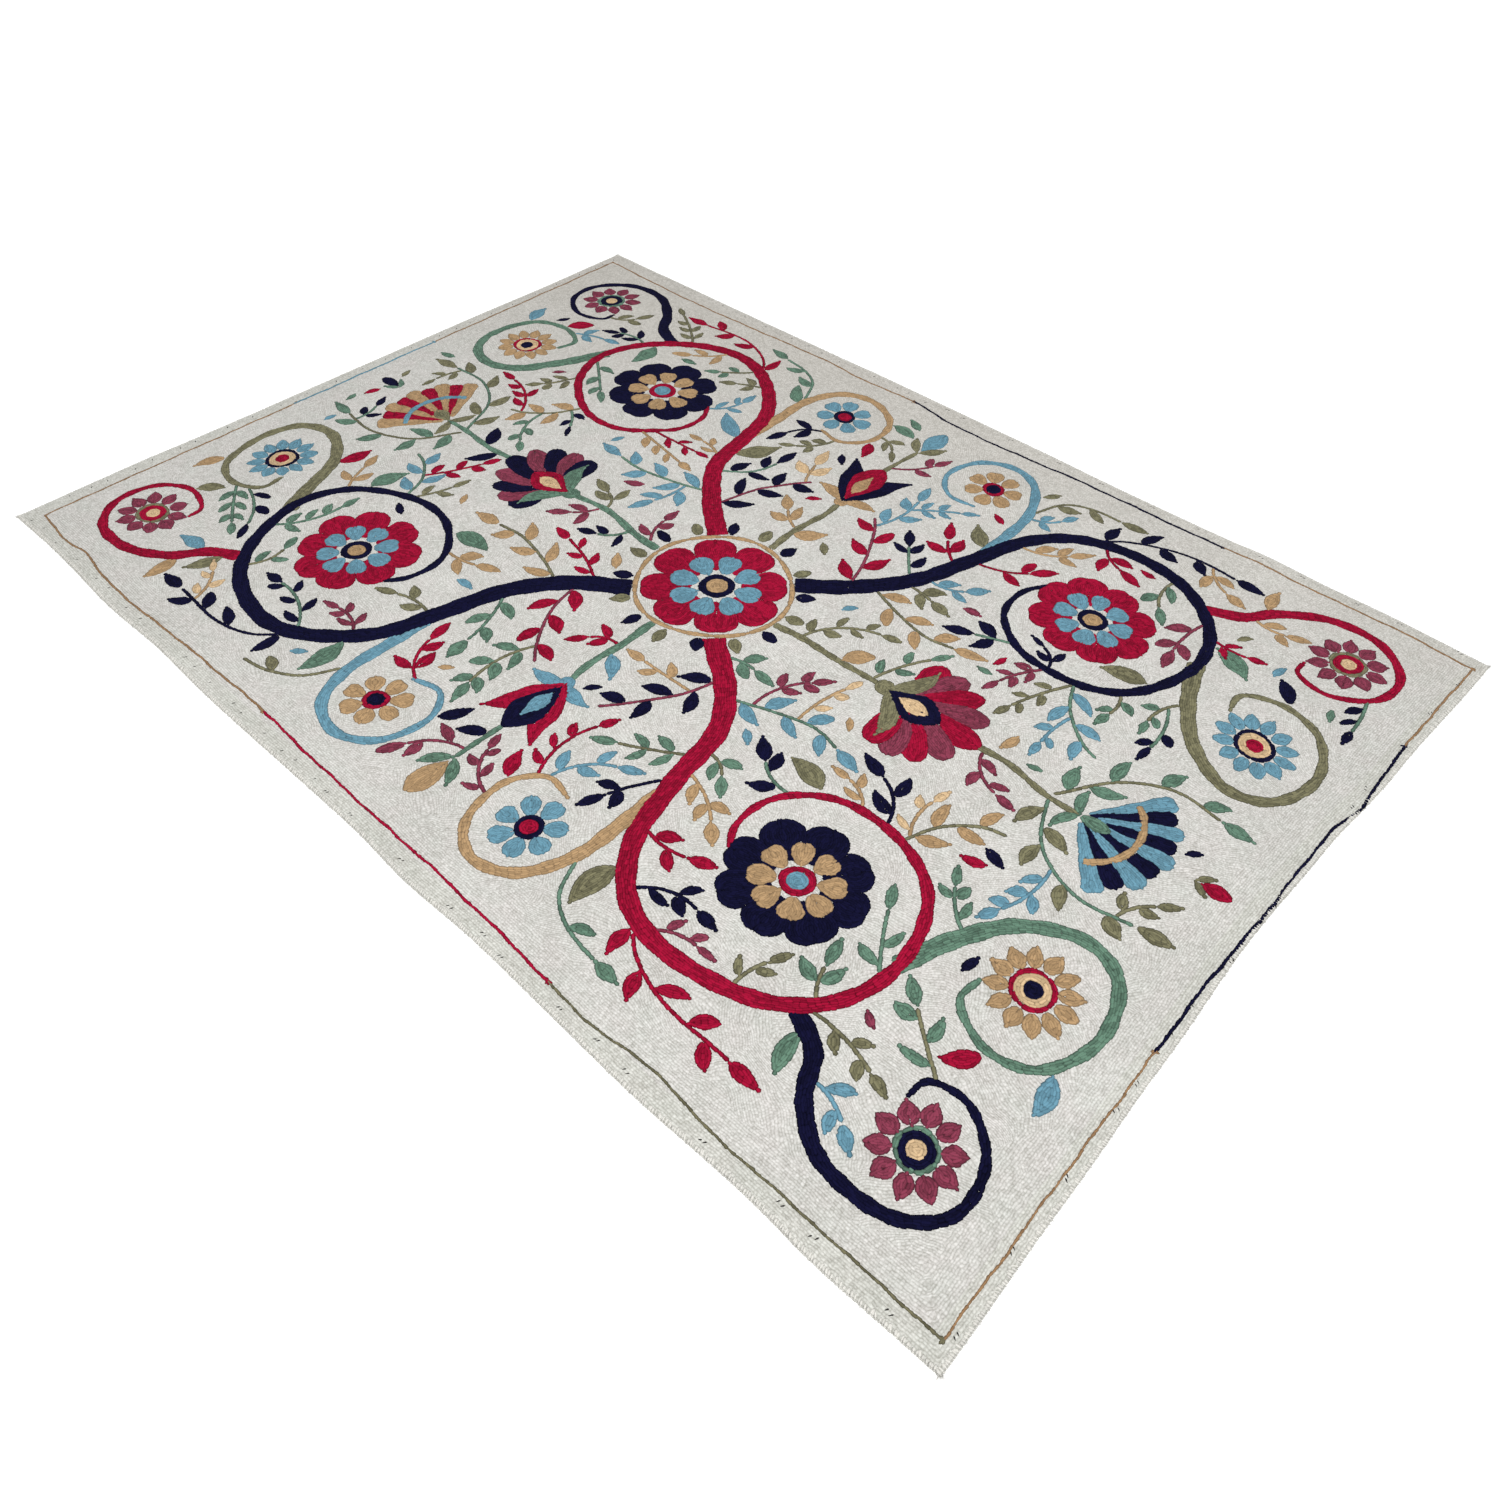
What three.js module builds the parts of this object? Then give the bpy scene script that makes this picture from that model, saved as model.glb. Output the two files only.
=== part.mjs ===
// An embroidered kilim rug, 1.7 m by 2.4 m, lying on a floor.
// The cloth is one sheet. Its four edges are turned under into a narrow stitched hem, its outline
// is a little out of true, and it keeps the low folds that it took in storage.
// Millimetres, +Z up. The origin is on the floor under the middle of the rug, with the rug's
// length along X and its width along Y.

import * as THREE from 'three';

const RUG = { length: 2390, width: 1700, thickness: 3.5 };

// The hem doubles the cloth along every edge, and its outer lip is rolled.
const HEM = { width: 30, rise: 0.9, lip: 6 };

// Mesh steps: the spacing of the sheet's stations between the hems.
const STEP = { along: 60, across: 58 };

// How quickly a side's unevenness fades towards the middle of the rug.
const FADE = 10;

// How far each side stands out from the true rectangle. "at" runs along the side.
const farSide = [
  { at: -1195, out: -7 },
  { at: -850, out: -4 },
  { at: -420, out: 0 },
  { at: -250, out: 4 },
  { at: 200, out: 3 },
  { at: 400, out: -1 },
  { at: 1000, out: 1 },
  { at: 1195, out: -9 },
];
const nearSide = [
  { at: -1195, out: -1 },
  { at: -1040, out: -3 },
  { at: -780, out: 6 },
  { at: -630, out: 0 },
  { at: -430, out: 4 },
  { at: 15, out: -1 },
  { at: 160, out: 7 },
  { at: 306, out: 0 },
  { at: 670, out: 8 },
  { at: 890, out: 3 },
  { at: 980, out: 9 },
  { at: 1195, out: 4 },
];
const leftSide = [
  { at: -850, out: -3 },
  { at: -570, out: 2 },
  { at: -400, out: -1 },
  { at: 380, out: 2 },
  { at: 560, out: -1 },
  { at: 850, out: 2 },
];
const rightSide = [
  { at: -850, out: 1 },
  { at: -580, out: -7 },
  { at: -330, out: -15 },
  { at: -40, out: -25 },
  { at: 200, out: -19 },
  { at: 430, out: -5 },
  { at: 850, out: 11 },
];

// Folds that lift the cloth off the floor: a crest from one point to another, with the height of
// the crest and the distance from it at which the cloth is down again.
const folds = [
  { x1: -1120, y1: 302, x2: 560, y2: 298, reach: 34, height: 2.6 }, // lengthwise storage crease
  { x1: -1040, y1: -545, x2: -260, y2: 40, reach: 105, height: 7 }, // long slanting swell
  { x1: 440, y1: 500, x2: 760, y2: 830, reach: 95, height: 6 },
  { x1: 930, y1: -270, x2: 1120, y2: -560, reach: 90, height: 5.5 },
  { x1: 645, y1: 430, x2: 645, y2: 130, reach: 75, height: 3.5 },
  { x1: -905, y1: -880, x2: -900, y2: -800, reach: 105, height: 5 }, // lifts along the near hem
  { x1: -610, y1: -880, x2: -600, y2: -790, reach: 95, height: 4 },
  { x1: 150, y1: -880, x2: 160, y2: -780, reach: 120, height: 6 },
  { x1: 560, y1: -880, x2: 550, y2: -790, reach: 110, height: 5 },
  { x1: 930, y1: -880, x2: 940, y2: -800, reach: 95, height: 4.5 },
  { x1: 1220, y1: 40, x2: 1130, y2: 60, reach: 150, height: 7 }, // lift along the bowed end
];

// The value of a side's table at a place along it, eased from row to row.
function sideOut(rows, at) {
  if (at <= rows[0].at) return rows[0].out;
  for (let i = 1; i < rows.length; i += 1) {
    const from = rows[i - 1];
    const to = rows[i];
    if (at <= to.at) {
      const share = THREE.MathUtils.smoothstep(at, from.at, to.at);
      return THREE.MathUtils.lerp(from.out, to.out, share);
    }
  }
  return rows[rows.length - 1].out;
}

// A point of the true rectangle, moved to its place in the uneven outline.
function place(x, y) {
  const endSide = x > 0 ? sideOut(rightSide, y) : -sideOut(leftSide, y);
  const longSide = y > 0 ? sideOut(farSide, x) : -sideOut(nearSide, x);
  const xShare = Math.abs(x) / (RUG.length / 2);
  const yShare = Math.abs(y) / (RUG.width / 2);
  return new THREE.Vector2(x + endSide * xShare ** FADE, y + longSide * yShare ** FADE);
}

// How far a fold lifts the cloth at a point: a cosine hump round the line of its crest.
function foldLift(fold, point) {
  const start = new THREE.Vector2(fold.x1, fold.y1);
  const along = new THREE.Vector2(fold.x2, fold.y2).sub(start);
  const offset = point.clone().sub(start);
  const share = THREE.MathUtils.clamp(offset.dot(along) / along.lengthSq(), 0, 1);
  const distance = offset.addScaledVector(along, -share).length();
  if (distance >= fold.reach) return 0;
  return fold.height * 0.5 * (1 + Math.cos((Math.PI * distance) / fold.reach));
}

function lift(point) {
  return Math.max(...folds.map((fold) => foldLift(fold, point)));
}

// The cloth's thickness at a distance in from its edge: doubled a little over the hem, and
// rounded off at the lip.
function thicknessAt(inset) {
  const hem = HEM.rise * (1 - THREE.MathUtils.smoothstep(inset, HEM.width - 8, HEM.width + 8));
  const round = Math.sqrt(Math.min(1, 0.2 + inset / HEM.lip));
  return (RUG.thickness + hem) * round;
}

// Stations from one edge to the other: close together over the lip and the hem, even between,
// with extra ones where a narrow crease runs.
function stations(size, step, creases) {
  const half = size / 2;
  const hemInsets = [0, HEM.lip / 2, HEM.lip, HEM.width - 8, HEM.width + 8];
  const inner = half - hemInsets[hemInsets.length - 1];
  const count = Math.round((2 * inner) / step);
  const even = Array.from({ length: count - 1 }, (_, i) => -inner + ((i + 1) * 2 * inner) / count);
  const clear = even.filter((s) => creases.every((c) => Math.abs(s - c) > step / 3));
  const edges = hemInsets.flatMap((inset) => [-half + inset, half - inset]);
  return [...edges, ...clear, ...creases].sort((a, b) => a - b);
}

function clothGeometry() {
  const crease = folds[0];
  const creaseRows = [-crease.reach, -crease.reach / 2, 0, crease.reach / 2, crease.reach];
  const xs = stations(RUG.length, STEP.along, []);
  const ys = stations(RUG.width, STEP.across, creaseRows.map((offset) => crease.y1 + offset));
  const layers = 2;
  const box = new THREE.BoxGeometry(1, 1, 1, xs.length - 1, ys.length - 1, layers);
  const position = box.getAttribute('position');
  for (let i = 0; i < position.count; i += 1) {
    const x = xs[Math.round((position.getX(i) + 0.5) * (xs.length - 1))];
    const y = ys[Math.round((position.getY(i) + 0.5) * (ys.length - 1))];
    const layer = position.getZ(i) + 0.5;
    const inset = Math.min(RUG.length / 2 - Math.abs(x), RUG.width / 2 - Math.abs(y));
    const point = place(x, y);
    position.setXYZ(i, point.x, point.y, lift(point) + layer * thicknessAt(inset));
  }
  box.computeBoundingBox();
  const centre = box.boundingBox.getCenter(new THREE.Vector3());
  box.translate(-centre.x, -centre.y, -box.boundingBox.min.z);
  box.computeVertexNormals();
  return box;
}

const groundWool = new THREE.MeshStandardMaterial({
  name: 'ground_wool',
  color: new THREE.Color(0.8, 0.78, 0.73),
  roughness: 0.95,
  metalness: 0,
});

const cloth = new THREE.Mesh(clothGeometry(), groundWool);
cloth.name = 'rug_cloth';

const rug = new THREE.Group();
rug.name = 'embroidered_kilim_rug';
rug.add(cloth);

export default rug;
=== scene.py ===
# An embroidered kilim rug on a pale floor: off-white wool covered with chain stitch, a scrolling
# vine drawing in seven yarns, a thin border line and a fuzzy turned edge.
# The drawing is in millimetres from the middle of the rug, and the meshes are in metres.
import math

import bmesh
import bpy
import numpy as np
from mathutils import Matrix, Vector, noise
from mathutils.bvhtree import BVHTree


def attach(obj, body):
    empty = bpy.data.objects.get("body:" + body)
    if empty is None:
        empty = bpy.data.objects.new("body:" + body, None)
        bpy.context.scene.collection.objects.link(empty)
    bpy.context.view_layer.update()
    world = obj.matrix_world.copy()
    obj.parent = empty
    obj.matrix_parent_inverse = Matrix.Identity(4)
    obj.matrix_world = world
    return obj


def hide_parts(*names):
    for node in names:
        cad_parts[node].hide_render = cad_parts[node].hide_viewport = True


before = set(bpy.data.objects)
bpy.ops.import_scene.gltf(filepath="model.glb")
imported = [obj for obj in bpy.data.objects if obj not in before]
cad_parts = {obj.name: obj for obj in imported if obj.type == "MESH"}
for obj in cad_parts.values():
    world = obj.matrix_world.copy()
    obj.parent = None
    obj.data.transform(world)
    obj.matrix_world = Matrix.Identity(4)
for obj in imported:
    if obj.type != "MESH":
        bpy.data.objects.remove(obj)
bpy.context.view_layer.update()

rug = {
    "halfLength": 1195.0,  # of the true rectangle that the sides waver about
    "halfWidth": 850.0,
    "middle": (-4.5, 2.5),  # where its middle lies from the frame's origin
}

palette = {  # each yarn's colour as it looks in daylight, 0 to 255
    "crimson": (151, 14, 49),
    "navy": (14, 14, 45),
    "sky": (101, 146, 165),
    "tan": (174, 143, 105),
    "sand": (208, 179, 140),
    "olive": (116, 113, 86),
    "sage": (92, 123, 105),
    "plum": (127, 54, 74),
    "moss": (108, 104, 80),
    "umber": (150, 117, 84),
    "charcoal": (48, 45, 44),
    "wool": (216, 214, 207),
}


def linear(rgb, gain=1.0):  # a daylight colour as the shader's linear colour
    shares = [channel / 255 for channel in rgb]
    made = [s / 12.92 if s <= 0.04045 else ((s + 0.055) / 1.055) ** 2.4 for s in shares]
    return [min(1.0, gain * value) for value in made] + [1.0]


# Nodes

class Nodes:  # a new material, and short ways to add to its node tree
    def __init__(self, name, roughness, sheen):
        self.material = bpy.data.materials.new(name)
        self.material.use_nodes = True
        self.tree = self.material.node_tree
        self.shader = self.tree.nodes["Principled BSDF"]
        self.feed(self.shader, {"Roughness": roughness, "Specular IOR Level": 0.06,
                                "Sheen Weight": sheen, "Sheen Roughness": 0.6})

    def feed(self, node, inputs):  # each a number, a colour or another node's output
        for socket, source in inputs.items():
            if isinstance(source, bpy.types.NodeSocket):
                self.tree.links.new(source, node.inputs[socket])
            else:
                node.inputs[socket].default_value = source

    def add(self, kind, inputs=None, **settings):
        made = self.tree.nodes.new("ShaderNode" + kind)
        for name, value in settings.items():
            setattr(made, name, value)
        self.feed(made, inputs or {})
        return made

    def sums(self, operation, *sources):
        return self.add("Math", dict(enumerate(sources)), operation=operation).outputs[0]

    def plus(self, first, second):
        return self.sums("ADD", first, second)

    def times(self, first, second):
        return self.sums("MULTIPLY", first, second)

    def upTo(self, most, source):  # kept from 0 to this
        return self.sums("MINIMUM", self.sums("MAXIMUM", source, 0.0), most)

    def hump(self, count):  # rises and falls once from each whole number to the next
        return self.sums("SINE", self.times(self.sums("FRACT", count), math.pi))

    def weighted(self, *parts):  # a sum of sources, each times its share
        terms = [self.times(source, share) for share, source in parts]
        total = terms[0]
        for term in terms[1:]:
            total = self.plus(total, term)
        return total

    def vectors(self, operation, first, second):
        return self.add("VectorMath", {0: first, 1: second}, operation=operation).outputs[0]

    def scaled(self, vector, scale):
        return self.add("VectorMath", {0: vector, "Scale": scale}, operation="SCALE").outputs[0]

    def split(self, vector):
        return self.add("SeparateXYZ", {0: vector}).outputs

    def blend(self, factor, first, second):
        return self.add("Mix", {0: factor, 2: first, 3: second}).outputs[0]

    def tint(self, factor, first, second, how="MIX"):
        inputs = {0: factor, 6: first, 7: second}
        return self.add("Mix", inputs, data_type="RGBA", blend_type=how).outputs[2]

    def cloud(self, place, size, detail=2.0):  # noise from 0 to 1 with blots about this wide, in mm
        return self.add("TexNoise", {"Vector": place, "Scale": 1.0 / size, "Detail": detail}).outputs[0]

    def ramp(self, tone, stops):  # each a place on the ramp and its colour
        made = self.add("ValToRGB", {0: tone})
        elements = made.color_ramp.elements
        while len(elements) < len(stops):
            elements.new(0.5)
        for element, (position, colour) in zip(elements, stops):
            element.position = position
            element.color = colour
        return made.outputs[0]

    def finished(self, colour, height, strength, distance):
        relief = self.add("Bump", {"Strength": strength, "Distance": distance, "Height": height})
        self.feed(self.shader, {"Base Color": colour, "Normal": relief.outputs[0]})
        return self.material


# Ground cloth: a finer copy of the solid, with the slight puckers that the stitching leaves

groundCloth = {
    "levels": 2,  # of subdivision
    "pucker": 0.55,  # mm, and its width below
    "puckerWidth": 85.0,
    "rowPitch": 4.2,  # mm between the rows of ground stitch
    "linkLength": 5.6,
    "linkShift": 9.0,  # links by which one row may be ahead of the next
    "patch": 120.0,  # how wide the patches are that share one direction of rows
    "margin": 85.0,  # from the edge: rows there follow the edge
    "bends": (75.0, 38.0),  # the size of each wander and how far it goes: of rows in a patch,
    "ragged": (70.0, 150.0),  # of the margin's inner side,
    "waver": (13.0, 1.3),  # and of a single row, in rows
    "shades": ((0.31, (156, 154, 146)), (0.89, (236, 235, 231))),
    "shadeAndSpeckColour": (128, 124, 118),  # the painted shade along the lip, and dark specks
    "hem": 34.0,  # mm
    # how far in from the rim the painted shade of the lip reaches, in mm
    "lip": 7.0,
    "bump": (0.42, 0.0009),  # strength, and depth in metres
}


def placed(name, data):  # a new object in the scene
    made = bpy.data.objects.new(name, data)
    bpy.context.scene.collection.objects.link(made)
    return made


def mergedCopy(node):
    bm = bmesh.new()
    bm.from_mesh(node.data)
    bmesh.ops.remove_doubles(bm, verts=bm.verts, dist=0.00002)
    bmesh.ops.join_triangles(
        bm,
        faces=bm.faces,
        angle_face_threshold=math.radians(35),
        angle_shape_threshold=math.radians(60),
    )
    mesh = bpy.data.meshes.new("groundCloth")
    bm.to_mesh(mesh)
    bm.free()
    return mesh


def subdivided(piece, levels):
    smoother = piece.modifiers.new("finer", "SUBSURF")
    smoother.levels = levels
    smoother.render_levels = levels
    graph = bpy.context.evaluated_depsgraph_get()
    mesh = bpy.data.meshes.new_from_object(piece.evaluated_get(graph))
    piece.modifiers.clear()
    piece.data = mesh
    return mesh


def readAll(items, field, width=1, kind=float):
    values = np.empty(width * len(items), kind)
    items.foreach_get(field, values)
    return values.reshape(-1, width) if width > 1 else values


def readPoints(mesh):
    return readAll(mesh.vertices, "co", 3)


def readNormals(mesh):
    return readAll(mesh.vertices, "normal", 3)


def pucker(mesh):  # the underside stays on the floor
    points = readPoints(mesh)
    wide = 1000.0 / groundCloth["puckerWidth"]
    for i in np.flatnonzero(readNormals(mesh)[:, 2] > 0.5):
        at = Vector(points[i])
        swell = noise.noise(at * wide) + 0.4 * noise.noise(at * wide * 2.7 + Vector((5, 1, 0)))
        points[i, 2] += 0.001 * groundCloth["pucker"] * swell
    mesh.vertices.foreach_set("co", points.ravel())
    mesh.update()


def rimOf(mesh):  # the outermost line of the lip, as a loop of points
    points = readPoints(mesh)[np.abs(readNormals(mesh)[:, 2]) < 0.5]
    sectors = 720
    turn = np.linspace(-math.pi, math.pi, sectors + 1)
    angle = np.arctan2(points[:, 1] / rug["halfWidth"], points[:, 0] / rug["halfLength"])
    reach = np.hypot(points[:, 0], points[:, 1])
    sector = np.digitize(angle, turn) - 1
    members = [np.flatnonzero(sector == k) for k in range(sectors)]
    return points[[inside[np.argmax(reach[inside])] for inside in members if len(inside)]]


def insetOf(points, rim):  # how far each point is from the rim, in mm
    outline = rim[:, :2]
    ahead = np.roll(outline, -1, axis=0)
    run = ahead - outline
    length = np.maximum((run ** 2).sum(1), 1e-12)
    nearest = np.full(len(points), 1e9)
    for start, along, size in zip(outline, run, length):
        share = np.clip(((points[:, :2] - start) @ along) / size, 0.0, 1.0)
        apart = points[:, :2] - start - share[:, None] * along
        nearest = np.minimum(nearest, np.hypot(apart[:, 0], apart[:, 1]))
    return 1000.0 * nearest


def flatMap(mesh):  # for the export: the upper face as it lies, the underside small below it
    points = readPoints(mesh)
    corners = readAll(mesh.loops, "vertex_index", kind=int)
    starts = readAll(mesh.polygons, "loop_start", kind=int)
    rises = readAll(mesh.polygons, "normal", 3)[:, 2]
    under = np.repeat(rises < -0.3, np.diff(np.append(starts, len(corners))))
    flat = (points[corners][:, :2] - points[:, :2].min(0)) / (np.ptp(points[:, 0]) * 1.01)
    places = np.where(under[:, None], 0.36 * flat + 0.004, flat + np.array([0.004, 0.275]))
    mesh.uv_layers.new(name="OFBake").data.foreach_set("uv", places.ravel())


def groundMaterial():
    look = groundCloth
    nodes = Nodes("groundWool", 0.92, 0.15)
    place = nodes.scaled(nodes.add("TexCoord").outputs["Object"], 1000.0)
    inset = nodes.add("Attribute", attribute_name="inset").outputs["Fac"]
    x, y, _ = nodes.split(place)

    # Each patch has rows in a direction of its own
    size, reach = look["bends"]
    drift = nodes.add("TexNoise", {"Vector": place, "Scale": 1.0 / size, "Detail": 1.0})
    away = nodes.vectors("SUBTRACT", drift.outputs["Color"], (0.5, 0.5, 0.5))
    bent = nodes.vectors("ADD", place, nodes.scaled(away, reach))
    patch = nodes.add("TexVoronoi", {"Vector": bent, "Scale": 1.0 / look["patch"]})
    angle = nodes.times(patch.outputs["Color"], math.pi)
    turned = nodes.add("VectorRotate", {"Vector": bent, "Angle": angle}, rotation_type="Z_AXIS")
    inPatch = nodes.split(turned.outputs[0])

    # In the margin they follow the nearer side
    pastEnd = nodes.sums("SUBTRACT", nodes.sums("ABSOLUTE", x), rug["halfLength"])
    pastSide = nodes.sums("SUBTRACT", nodes.sums("ABSOLUTE", y), rug["halfWidth"])
    size, reach = look["ragged"]
    strayed = nodes.sums("MULTIPLY_ADD", nodes.cloud(place, size), reach, look["margin"] - 0.5 * reach)
    inMargin = nodes.sums("LESS_THAN", inset, strayed)
    along = nodes.blend(nodes.sums("GREATER_THAN", pastSide, pastEnd), y, x)
    along = nodes.blend(inMargin, inPatch[1], along)
    across = nodes.blend(inMargin, inPatch[0], inset)

    size, reach = look["waver"]
    wander = nodes.times(nodes.cloud(place, size), reach)
    rows = nodes.plus(nodes.sums("DIVIDE", across, look["rowPitch"]), wander)
    rowNumber = nodes.sums("FLOOR", rows)
    shift = nodes.add("TexWhiteNoise", {"W": rowNumber}, noise_dimensions="1D").outputs[0]
    links = nodes.sums("DIVIDE", along, look["linkLength"])
    links = nodes.plus(links, nodes.times(shift, look["linkShift"]))
    linkRise = nodes.sums("POWER", nodes.hump(links), 0.6)
    height = nodes.times(nodes.hump(rows), nodes.sums("MULTIPLY_ADD", linkRise, 0.75, 0.25))
    link = nodes.add("CombineXYZ", {0: rowNumber, 1: nodes.sums("FLOOR", links)}).outputs[0]
    linkTone = nodes.add("TexWhiteNoise", {"Vector": link}, noise_dimensions="2D").outputs[0]

    # Colour: painted shade in the hollows between rows, single stitches and broad patches uneven
    grain, blots, fading = nodes.cloud(place, 3.6, 3.0), nodes.cloud(place, 8.0), nodes.cloud(place, 150.0)
    tone = nodes.weighted((0.17, linkTone), (0.23, height), (0.58, grain), (0.13, blots), (0.14, fading))
    shades = nodes.ramp(tone, [(at, linear(rgb, studio["albedo"])) for at, rgb in look["shades"]])
    pinkish, greenish = (1.035, 0.985, 1.0, 1.0), (0.97, 1.01, 0.985, 1.0)
    lots = nodes.tint(nodes.cloud(place, 48.0), pinkish, greenish)

    # The hem is a little greener and greyer, the +y side turns warmer and darker towards -x, the lip
    # gets painted shade, and dark specks lie here and there
    hem = nodes.times(nodes.sums("LESS_THAN", inset, look["hem"]), 0.5)
    lots = nodes.tint(hem, lots, (0.93, 0.955, 0.9, 1.0))
    # warmer and a little darker over the +y side, more so towards -x
    warmerTowardsPlusY = nodes.sums("MULTIPLY_ADD", y, 0.002, -0.72)
    warmerTowardsPlusY = nodes.upTo(1.0, nodes.sums("MULTIPLY_ADD", x, -0.0004, warmerTowardsPlusY))
    lots = nodes.tint(warmerTowardsPlusY, lots, (0.94, 0.915, 0.885, 1.0))
    # painted shade along the lip, fading out inwards from the rim
    lip = nodes.sums("SUBTRACT", 1.0, nodes.sums("DIVIDE", inset, look["lip"]))
    lip = nodes.times(nodes.sums("MAXIMUM", lip, 0.0), 0.25)
    speck = nodes.upTo(0.5, nodes.sums("MULTIPLY_ADD", nodes.cloud(place, 3.1), 9.0, -6.2))
    shadeAndSpecks = nodes.sums("MAXIMUM", lip, nodes.times(speck, nodes.plus(hem, 0.6)))
    shaded = nodes.tint(shadeAndSpecks, shades, linear(look["shadeAndSpeckColour"], studio["albedo"]))
    return nodes.finished(nodes.tint(1.0, shaded, lots, "MULTIPLY"), height, *look["bump"])


def makeGroundCloth():
    piece = placed("groundCloth", mergedCopy(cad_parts["rug_cloth"]))
    mesh = subdivided(piece, groundCloth["levels"])
    pucker(mesh)
    rim = rimOf(mesh)
    inset = insetOf(readPoints(mesh), rim)
    mesh.attributes.new("inset", "FLOAT", "POINT").data.foreach_set("value", inset)
    flatMap(mesh)
    mesh.shade_smooth()
    mesh.materials.append(groundMaterial())
    return piece, rim


# The surface under the stitches, as a grid of heights

heightGrid = {"step": 8.0, "x0": -1240.0, "y0": -890.0, "columns": 311, "rows": 223}


def topAt(surface, x, y, missing):  # the height of the upper face, in metres
    hit = surface.ray_cast(Vector((x, y, 1.0)), Vector((0, 0, -1)))[0]
    return hit.z if hit else missing


def readHeights(surface):
    grid = heightGrid
    xs = 0.001 * (grid["x0"] + grid["step"] * np.arange(grid["columns"]))
    ys = 0.001 * (grid["y0"] + grid["step"] * np.arange(grid["rows"]))
    heights = 1000.0 * np.array([[topAt(surface, x, y, 0.0) for y in ys] for x in xs])
    for _ in range(3):  # past the edge each height carries on from its highest neighbour
        near = [np.roll(heights, move, axis) for axis in (0, 1) for move in (1, -1)]
        heights = np.where(heights > 0.0, heights, np.max(near, axis=0))
    return heights


def heightAt(points):  # between the four grid points round each one, all in mm
    grid = heightGrid
    u = (points[..., 0] + rug["middle"][0] - grid["x0"]) / grid["step"]
    v = (points[..., 1] + rug["middle"][1] - grid["y0"]) / grid["step"]
    u = np.clip(u, 0, grid["columns"] - 2.001)
    v = np.clip(v, 0, grid["rows"] - 2.001)
    i = u.astype(int)
    j = v.astype(int)
    du = u - i
    dv = v - j
    low = heights[i, j] * (1 - du) + heights[i + 1, j] * du
    high = heights[i, j + 1] * (1 - du) + heights[i + 1, j + 1] * du
    return low * (1 - dv) + high * dv


# Curves and shapes of the drawing. Every shape is a strip: a spine, and half its width at each
# point of the spine, in one yarn. Flowers are stitched first, then stems, then the leaves of vines.

stitchWork = {
    "pitch": 4.1,  # mm between two rows of chain stitch
    "advance": 10.5,  # along a row
    "spacing": 2.0,  # between the points of a spine
    "halfLength": 1118.0,  # no shape is stitched past these
    "halfWidth": 774.0,
    "cell": 1.5,  # of the grid that keeps two shapes apart
    "seed": 71,
    "meshSeed": 100,  # of the first yarn's mesh
    "swell": 1.42,  # width of one stitch as a share of the pitch: it overlaps its neighbours
    "overlap": 4.5,
    "height": 0.31,  # as a share of the pitch
    "sink": 0.2,
    "slip": 0.3,  # mm that each stitch strays sideways
    "claim": (-2.2, -1.1, 0.0, 1.1, 2.2),  # mm to its sides that a stitch takes up
    "mend": {"inset": 1.3, "step": 1.4, "reach": 2.4, "pitch": 3.4},
}


def lengths(rows):
    return np.linalg.norm(rows, axis=1)


def leftOf(run):  # each vector turned a quarter to the left
    return np.stack([-run[:, 1], run[:, 0]], 1)


def lapsOf(path):  # how far along the path each of its points is
    return np.concatenate([[0.0], np.cumsum(lengths(np.diff(path, axis=0)))])


def pointsAt(path, laps, at):  # the places this far along
    return np.stack([np.interp(at, laps, path[:, k]) for k in range(path.shape[1])], 1)


def evenly(path, spacing):
    path = np.asarray(path, float)
    laps = lapsOf(path)
    count = max(2, int(round(laps[-1] / spacing)) + 1)
    return pointsAt(path, laps, np.linspace(0.0, laps[-1], count))


def smoothPath(points):  # a Catmull-Rom curve through given points
    points = np.array(points, float)
    padded = np.vstack([2 * points[0] - points[1], points, 2 * points[-1] - points[-2]])
    t = np.linspace(0.0, 1.0, 24, endpoint=False)[:, None]
    runs = []
    for a, b, c, d in zip(padded[:-3], padded[1:-2], padded[2:-1], padded[3:]):
        cubic = (3 * b - a - 3 * c + d) * t ** 3 + (2 * a - 5 * b + 4 * c - d) * t ** 2
        runs.append(0.5 * (2 * b + (c - a) * t + cubic))
    return evenly(np.vstack(runs + [points[-1:]]), stitchWork["spacing"])


def arcPath(base, angle, length, bend):  # a spine that turns by bend from its base to its tip
    count = max(6, int(length / stitchWork["spacing"]) + 1)
    turn = angle + bend * (np.linspace(0.0, 1.0, count) - 0.5)
    moves = length / (count - 1) * np.stack([np.cos(turn[:-1]), np.sin(turn[:-1])], 1)
    return np.vstack([[base], np.asarray(base, float) + np.cumsum(moves, axis=0)])


def polar(centre, angle, radius):
    return (centre[0] + radius * math.cos(angle), centre[1] + radius * math.sin(angle))


# Half width along a strip as a share of its widest, from the base at 0 to the tip at 1

def leafForm(t):
    return np.sin(np.pi * t ** 0.84) ** 1.36


def petalForm(t):
    rise = np.sin(np.pi / 2 * np.minimum(1.0, t / 0.66)) ** 0.8
    end = 1.0 - (np.maximum(0.0, t - 0.66) / 0.34) ** 2
    return rise * np.sqrt(np.clip(end, 0.0, 1.0))


def dropForm(t):
    return np.sin(np.pi * t ** 1.35) ** 0.85


def wedgeForm(t):  # widens to a straight end
    return (0.25 + 0.75 * t) * np.sqrt(np.clip((1.0 - t) / 0.06, 0.0, 1.0))


def strip(spine, half, yarn, layer=0, whole=False):
    return {"spine": spine, "half": half, "yarn": yarn, "layer": layer, "whole": whole}


def blade(base, angle, length, width, yarn, form=leafForm, bend=0.0, layer=0, whole=False):
    spine = arcPath(base, angle, length, bend)
    return strip(spine, 0.5 * width * form(np.linspace(0.0, 1.0, len(spine))), yarn, layer, whole)


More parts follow.
